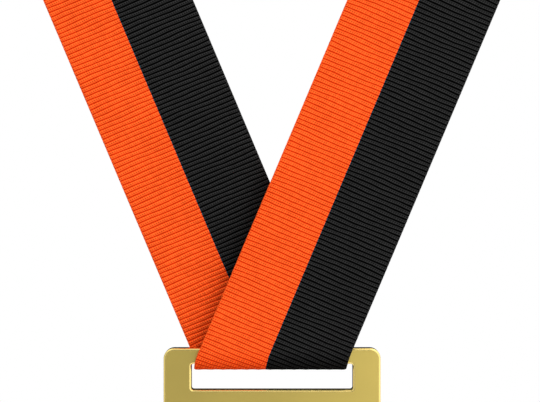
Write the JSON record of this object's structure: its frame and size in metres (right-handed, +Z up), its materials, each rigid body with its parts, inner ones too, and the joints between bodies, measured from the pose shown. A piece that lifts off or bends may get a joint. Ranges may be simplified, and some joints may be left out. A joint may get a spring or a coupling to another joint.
{
  "type": "finisher medal",
  "caption": "Rectangular cast plate with a long slot, hanging by its bar in the fold of a wide woven two-colour neck ribbon whose ends are lapped and sewn.",
  "frame": {"origin": "where the ribbon's inner face rests on the nape, in the middle of the lap", "axes": "+Z up, -Y the way the wearer and the plate's relief face, +X to the viewer's right"},
  "size_m": [0.21, 0.1094, 0.3993],
  "materials": {
    "satin_gold": "satin gold plating on die-cast zinc alloy, with bright rounded edges",
    "woven_ribbon": "matt polyester grosgrain, woven orange along one edge and black along the other",
    "sewing_thread": "black polyester sewing thread"
  },
  "bodies": {
    "neck_loop": {"neck_ribbon": "woven_ribbon", "needle_thread": "sewing_thread", "bobbin_thread": "sewing_thread"},
    "medal": {"medal_plate": "satin_gold"}
  },
  "joints": [
    {"name": "medal_swing", "type": "hinge", "parent": "neck_loop", "child": "medal", "pos_m": [0.00052, -0.09351, -0.30409], "axis": [1, 0, 0], "range_deg": [-105, 55]}
  ]
}
